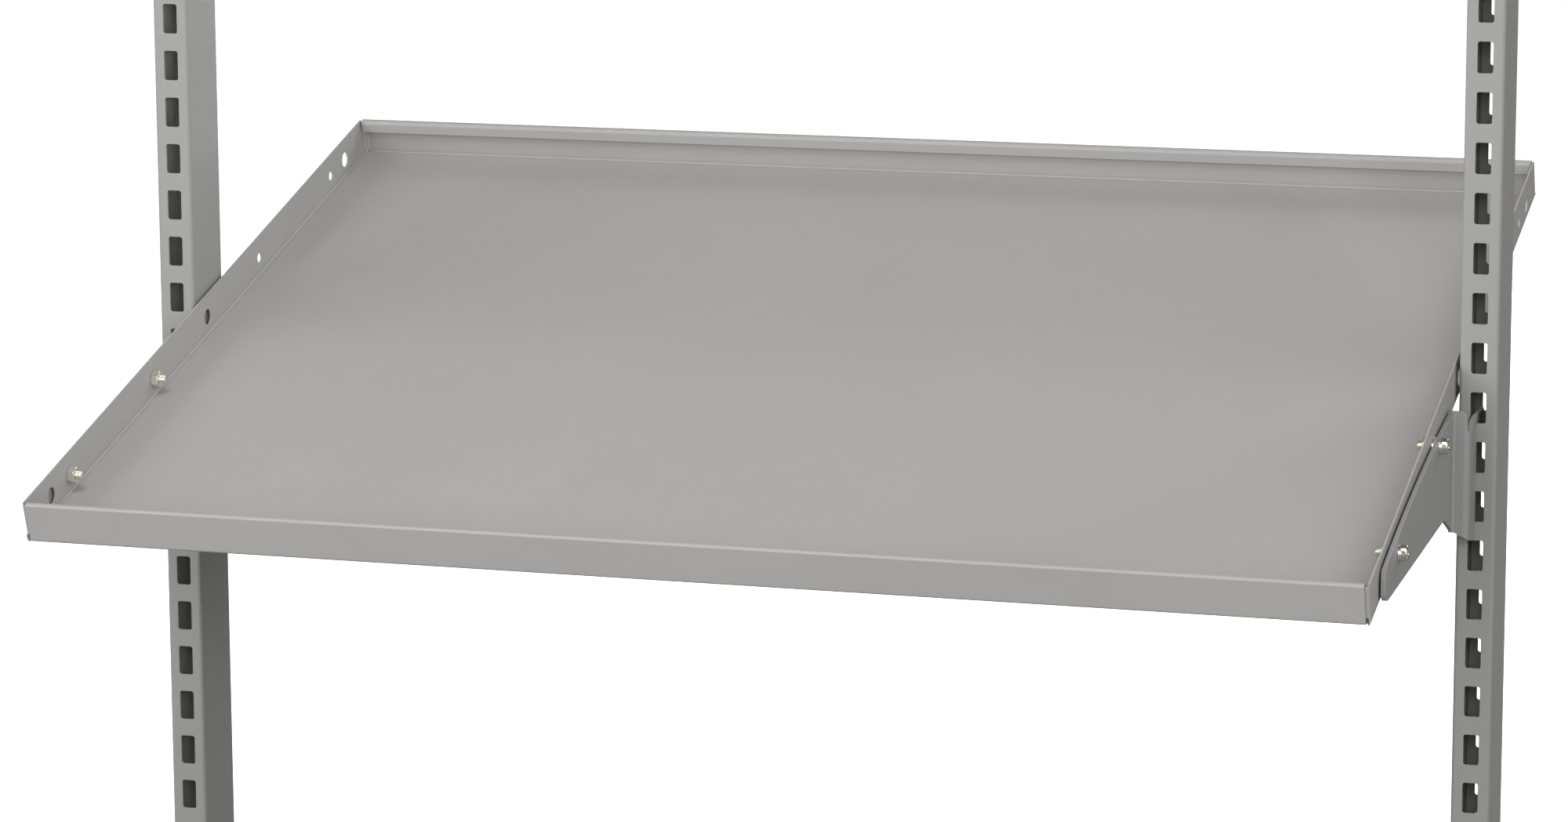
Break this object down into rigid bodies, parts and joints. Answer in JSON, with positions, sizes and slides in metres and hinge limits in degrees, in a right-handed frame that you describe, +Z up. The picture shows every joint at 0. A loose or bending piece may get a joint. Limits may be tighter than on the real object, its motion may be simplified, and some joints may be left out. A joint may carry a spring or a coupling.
{
  "type": "tray shelf",
  "caption": "Shallow folded steel tray shelf, tilted down to the front and screwed to joggled brackets that hook into slotted rectangular uprights.",
  "frame": {"origin": "midway between the uprights, in the plane of their front faces, level with their lower ends", "axes": "+X to the right along the shelf as seen from the front, +Y to the rear, +Z up along the uprights"},
  "size_m": [0.925, 0.5923, 0.72],
  "materials": {
    "upright_coat": "grey powder coat, satin, fine orange peel",
    "tray_coat": "grey powder coat, satin, fine orange peel",
    "bracket_coat": "grey powder coat, satin, fine orange peel",
    "zinc": "bright zinc plate with a slight yellow tint"
  },
  "bodies": {
    "uprights": {"upright_left": "upright_coat", "upright_right": "upright_coat"},
    "shelf": {"tray": "tray_coat", "bracket_left": "bracket_coat", "bracket_right": "bracket_coat", "screw_left_front": "zinc", "screw_left_rear": "zinc", "screw_right_front": "zinc", "screw_right_rear": "zinc", "nut_left_front": "zinc", "nut_left_rear": "zinc", "nut_right_front": "zinc", "nut_right_rear": "zinc", "washer_left_front": "zinc", "washer_left_rear": "zinc", "washer_right_front": "zinc", "washer_right_rear": "zinc"}
  },
  "joints": [
    {"name": "shelf_lift", "type": "slide", "parent": "uprights", "child": "shelf", "axis": [0, 0, 1], "range_m": [0, 0.007]}
  ]
}
